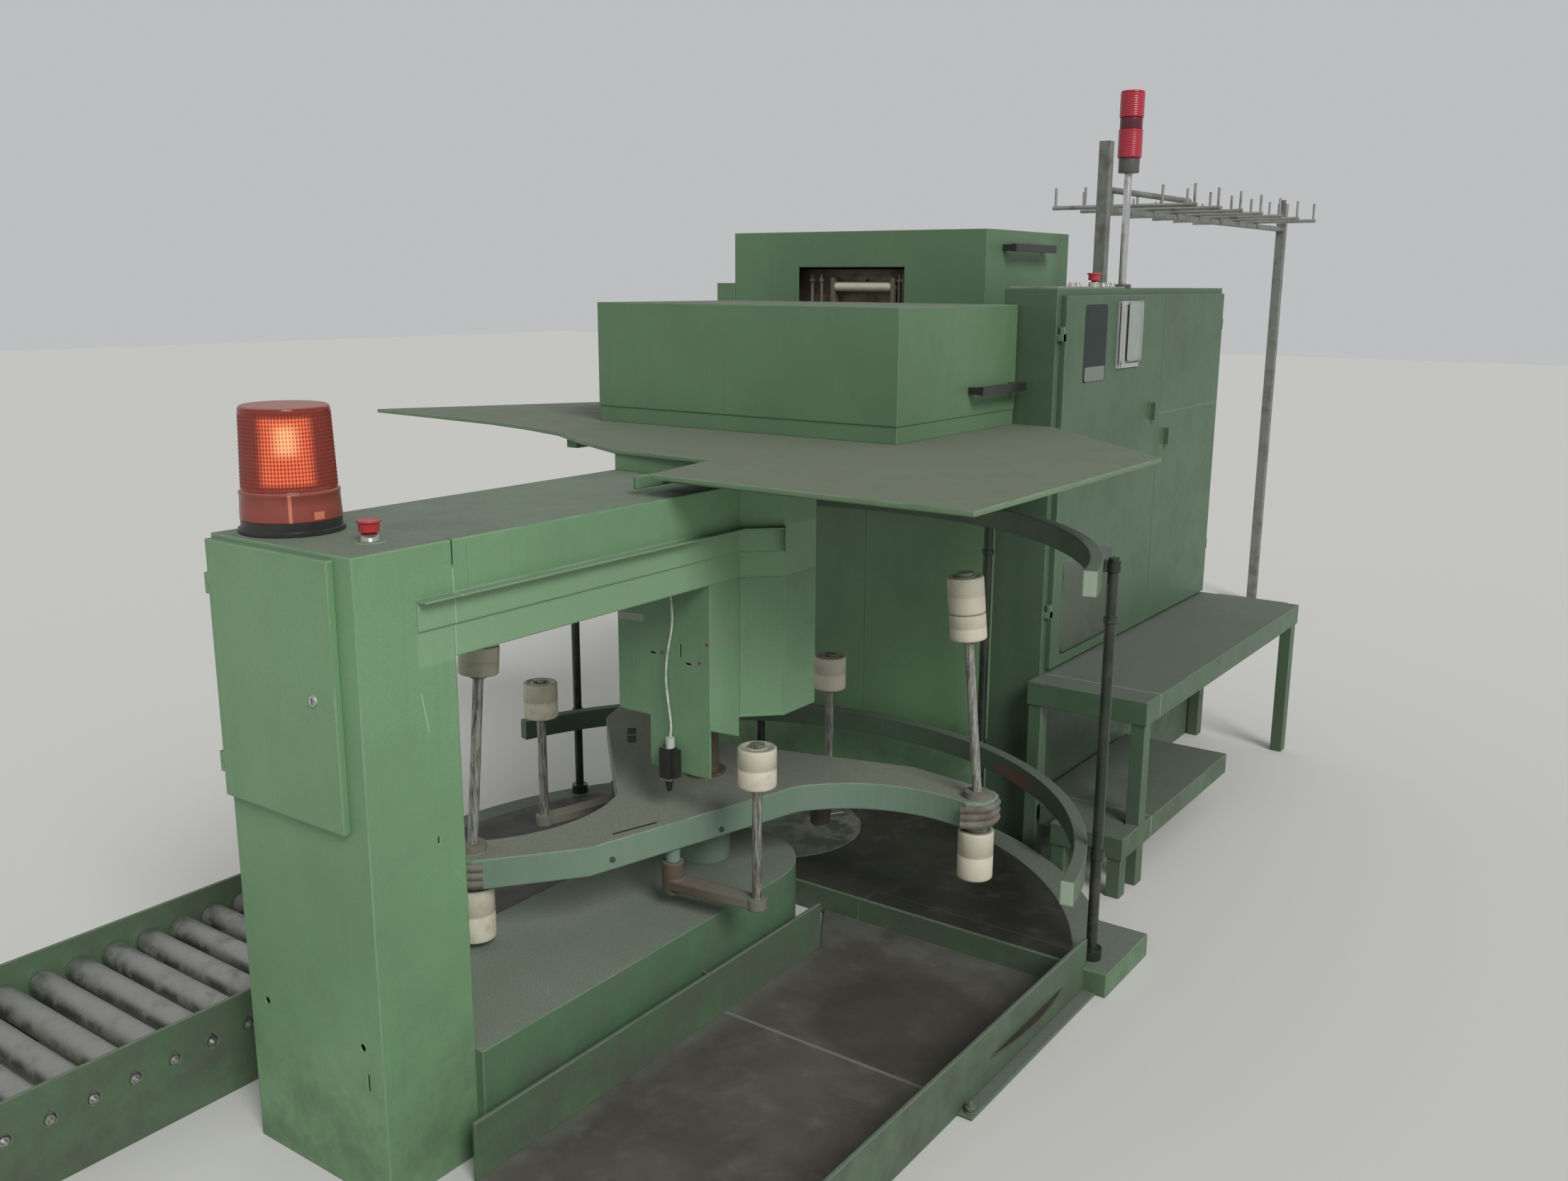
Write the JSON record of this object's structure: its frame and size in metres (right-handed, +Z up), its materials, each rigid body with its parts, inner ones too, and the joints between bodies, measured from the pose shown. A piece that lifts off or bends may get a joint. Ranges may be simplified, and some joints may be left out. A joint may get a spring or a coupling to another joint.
{
  "type": "textile draw frame with rotary can changer",
  "caption": "Green spinning-mill draw frame: drafting head over a coiler table, rotary can changer with roller arms under a beam, guard rings, exit ramp, roller track, cabinet and creel.",
  "frame": {"origin": "on the floor under the turnstile's vertical axis", "axes": "+Z up, +Y from the control column along the beam towards the creel (machine's length), +X towards the operator side with the exit ramp and steps"},
  "size_m": [2.386, 6.3249, 2.14],
  "materials": {
    "green_paint": "satin green machine enamel, dusty",
    "pale_green": "lighter green enamel, dusty",
    "dusty_top": "green enamel under grey-brown dust",
    "cream_plastic": "cream plastic, scuffed",
    "dark_steel": "dark paint, worn",
    "bare_steel": "bare steel, dull",
    "black_plastic": "black plastic",
    "red_plastic": "red plastic",
    "orange_lens": "clear orange plastic",
    "silver_reflector": "silvered reflector",
    "brown_floor": "worn brown floor plate",
    "rusty_lever": "primer brown, dusty",
    "panel_grey": "grey-green panel",
    "window_clear": "clear plastic cover",
    "grey_steel": "grey paint",
    "cream_roller": "cream roller cover",
    "cable_white": "white cable sheath"
  },
  "bodies": {
    "frame_body": {"column": "green_paint", "beam": "green_paint", "drive_housing": "pale_green", "sensor": "black_plastic", "sensor_cable": "cable_white", "plinth": "green_paint", "base_plate": "green_paint", "floor_disc": "dark_steel", "coiler_housing": "grey_steel", "ramp_deck": "brown_floor", "ramp_rails": "pale_green", "track_rails": "green_paint", "track_rollers": "bare_steel", "guard_rings": "green_paint", "guard_posts": "dark_steel", "table_sheet_top": "dusty_top", "table_frame": "green_paint", "cover_frame": "green_paint", "drafting_stand": "green_paint", "web_guide": "grey_steel", "machine_body": "green_paint", "cabinet": "green_paint", "control_panel": "panel_grey", "stack_light": "red_plastic", "step_platform": "pale_green", "beacon_base": "black_plastic", "beacon_lens": "orange_lens", "creel_frame": "grey_steel", "creel_guides": "bare_steel"},
    "door_body": {"column_door": "green_paint"},
    "turnstile_body": {"turnstile": "pale_green"},
    "can_turntable_body": {"can_turntable": "bare_steel"},
    "coiler_plate_body": {"coiler_plate": "bare_steel"},
    "coiler_cover_body": {"coiler_cover_box": "green_paint", "coiler_cover_handle": "black_plastic"},
    "drafting_cover_body": {"drafting_cover": "green_paint", "drafting_cover_handle": "black_plastic"},
    "delivery_roller_body": {"delivery_roller": "cream_roller"},
    "cabinet_front_body": {"cabinet_door_front": "green_paint", "cabinet_window": "window_clear"},
    "cabinet_rear_body": {"cabinet_door_rear": "green_paint"},
    "panel_stop_body": {"panel_stop": "red_plastic"},
    "stop_button_body": {"stop_button": "red_plastic"},
    "reflector_body": {"beacon_reflector": "silver_reflector"},
    "arm_roller_top_1_body": {"arm_roller_top_1": "cream_plastic"},
    "arm_roller_mid_1_body": {"arm_roller_mid_1": "cream_plastic"},
    "arm_roller_low_1_body": {"arm_roller_low_1": "cream_plastic"},
    "lever_1_body": {"lever_1": "rusty_lever"},
    "lever_roller_1_body": {"lever_roller_1": "cream_plastic"},
    "arm_roller_top_2_body": {"arm_roller_top_2": "cream_plastic"},
    "arm_roller_mid_2_body": {"arm_roller_mid_2": "cream_plastic"},
    "arm_roller_low_2_body": {"arm_roller_low_2": "cream_plastic"},
    "lever_2_body": {"lever_2": "rusty_lever"},
    "lever_roller_2_body": {"lever_roller_2": "cream_plastic"},
    "arm_roller_top_3_body": {"arm_roller_top_3": "cream_plastic"},
    "arm_roller_mid_3_body": {"arm_roller_mid_3": "cream_plastic"},
    "arm_roller_low_3_body": {"arm_roller_low_3": "cream_plastic"},
    "lever_3_body": {"lever_3": "rusty_lever"},
    "lever_roller_3_body": {"lever_roller_3": "cream_plastic"}
  },
  "joints": [
    {"name": "column_door_hinge", "type": "hinge", "parent": "frame_body", "child": "door_body", "pos_m": [-0.177, -1.152, 0.9], "axis": [0, 0, 1], "range_deg": [-110, 0]},
    {"name": "turnstile_spin", "type": "hinge", "parent": "frame_body", "child": "turnstile_body", "pos_m": [0, 0, 0.5], "axis": [0, 0, 1], "continuous": true},
    {"name": "arm_roller_top_1_spin", "type": "hinge", "parent": "turnstile_body", "child": "arm_roller_top_1_body", "pos_m": [0.6178, 0.24336, 0.43], "axis": [-0.0811, -0.0319, 0.9962], "continuous": true},
    {"name": "arm_roller_mid_1_spin", "type": "hinge", "parent": "turnstile_body", "child": "arm_roller_mid_1_body", "pos_m": [0.6178, 0.24336, 0.43], "axis": [-0.0811, -0.0319, 0.9962], "continuous": true},
    {"name": "arm_roller_low_1_spin", "type": "hinge", "parent": "turnstile_body", "child": "arm_roller_low_1_body", "pos_m": [0.6178, 0.24336, 0.3], "axis": [0, 0, 1], "continuous": true},
    {"name": "lever_1_swing", "type": "hinge", "parent": "turnstile_body", "child": "lever_1_body", "pos_m": [0.128, -0.275, 0.29], "axis": [0, 0, 1], "range_deg": [-15, 15], "stiffness_Nm_per_rad": 20},
    {"name": "lever_roller_1_spin", "type": "hinge", "parent": "lever_1_body", "child": "lever_roller_1_body", "pos_m": [0.348, -0.254, 0.59], "axis": [0, 0, 1], "continuous": true},
    {"name": "arm_roller_top_2_spin", "type": "hinge", "parent": "turnstile_body", "child": "arm_roller_top_2_body", "pos_m": [-0.09815, -0.65671, 0.43], "axis": [0.0129, 0.0862, 0.9962], "continuous": true},
    {"name": "arm_roller_mid_2_spin", "type": "hinge", "parent": "turnstile_body", "child": "arm_roller_mid_2_body", "pos_m": [-0.09815, -0.65671, 0.43], "axis": [0.0129, 0.0862, 0.9962], "continuous": true},
    {"name": "arm_roller_low_2_spin", "type": "hinge", "parent": "turnstile_body", "child": "arm_roller_low_2_body", "pos_m": [-0.09815, -0.65671, 0.3], "axis": [0, 0, 1], "continuous": true},
    {"name": "lever_2_swing", "type": "hinge", "parent": "turnstile_body", "child": "lever_2_body", "pos_m": [-0.30216, 0.02665, 0.29], "axis": [0, 0, 1], "range_deg": [-22, 8], "stiffness_Nm_per_rad": 20},
    {"name": "lever_roller_2_spin", "type": "hinge", "parent": "lever_2_body", "child": "lever_roller_2_body", "pos_m": [-0.36695, -0.18464, 0.59], "axis": [0, 0, 1], "continuous": true},
    {"name": "arm_roller_top_3_spin", "type": "hinge", "parent": "turnstile_body", "child": "arm_roller_top_3_body", "pos_m": [-0.51965, 0.41335, 0.43], "axis": [0.0682, -0.0543, 0.9962], "continuous": true},
    {"name": "arm_roller_mid_3_spin", "type": "hinge", "parent": "turnstile_body", "child": "arm_roller_mid_3_body", "pos_m": [-0.51965, 0.41335, 0.43], "axis": [0.0682, -0.0543, 0.9962], "continuous": true},
    {"name": "arm_roller_low_3_spin", "type": "hinge", "parent": "turnstile_body", "child": "arm_roller_low_3_body", "pos_m": [-0.51965, 0.41335, 0.3], "axis": [0, 0, 1], "continuous": true},
    {"name": "lever_3_swing", "type": "hinge", "parent": "turnstile_body", "child": "lever_3_body", "pos_m": [0.17416, 0.24835, 0.29], "axis": [0, 0, 1], "range_deg": [-8, 22], "stiffness_Nm_per_rad": 20},
    {"name": "lever_roller_3_spin", "type": "hinge", "parent": "lever_3_body", "child": "lever_roller_3_body", "pos_m": [0.07057, 0.44357, 0.59], "axis": [0, 0, 1], "continuous": true},
    {"name": "coiler_spin", "type": "hinge", "parent": "frame_body", "child": "coiler_plate_body", "pos_m": [-0.18541, 0.57063, 1.19], "axis": [0, 0, 1], "continuous": true},
    {"name": "can_turntable_spin", "type": "hinge", "parent": "frame_body", "child": "can_turntable_body", "pos_m": [-0.18541, 0.57063, 0.06], "axis": [0, 0, 1], "continuous": true},
    {"name": "coiler_cover_hinge", "type": "hinge", "parent": "frame_body", "child": "coiler_cover_body", "pos_m": [-0.654, 0.6, 1.261], "axis": [0, 1, 0], "range_deg": [-75, 0]},
    {"name": "drafting_cover_hinge", "type": "hinge", "parent": "frame_body", "child": "drafting_cover_body", "pos_m": [-0.771, 1.4, 1.602], "axis": [0, 1, 0], "range_deg": [-70, 0]},
    {"name": "delivery_roller_spin", "type": "hinge", "parent": "frame_body", "child": "delivery_roller_body", "pos_m": [-0.29, 1.155, 1.585], "axis": [1, 0, 0], "continuous": true},
    {"name": "cabinet_front_hinge", "type": "hinge", "parent": "frame_body", "child": "cabinet_front_body", "pos_m": [0.431, 1, 1], "axis": [0, 0, 1], "range_deg": [-100, 0]},
    {"name": "cabinet_rear_hinge", "type": "hinge", "parent": "frame_body", "child": "cabinet_rear_body", "pos_m": [0.431, 2.303, 1], "axis": [0, 0, 1], "range_deg": [0, 100]},
    {"name": "panel_stop_press", "type": "slide", "parent": "frame_body", "child": "panel_stop_body", "axis": [0, 0, 1], "range_m": [-0.004, 0], "stiffness_N_per_m": 900},
    {"name": "stop_button_press", "type": "slide", "parent": "frame_body", "child": "stop_button_body", "axis": [0, 0, 1], "range_m": [-0.004, 0], "stiffness_N_per_m": 900},
    {"name": "reflector_spin", "type": "hinge", "parent": "frame_body", "child": "reflector_body", "pos_m": [-0.086, -1.04, 1.2], "axis": [0, 0, 1], "continuous": true}
  ],
  "couplings": [
    {"joint": "can_turntable_spin", "follows": "coiler_spin", "ratio": -0.1}
  ]
}
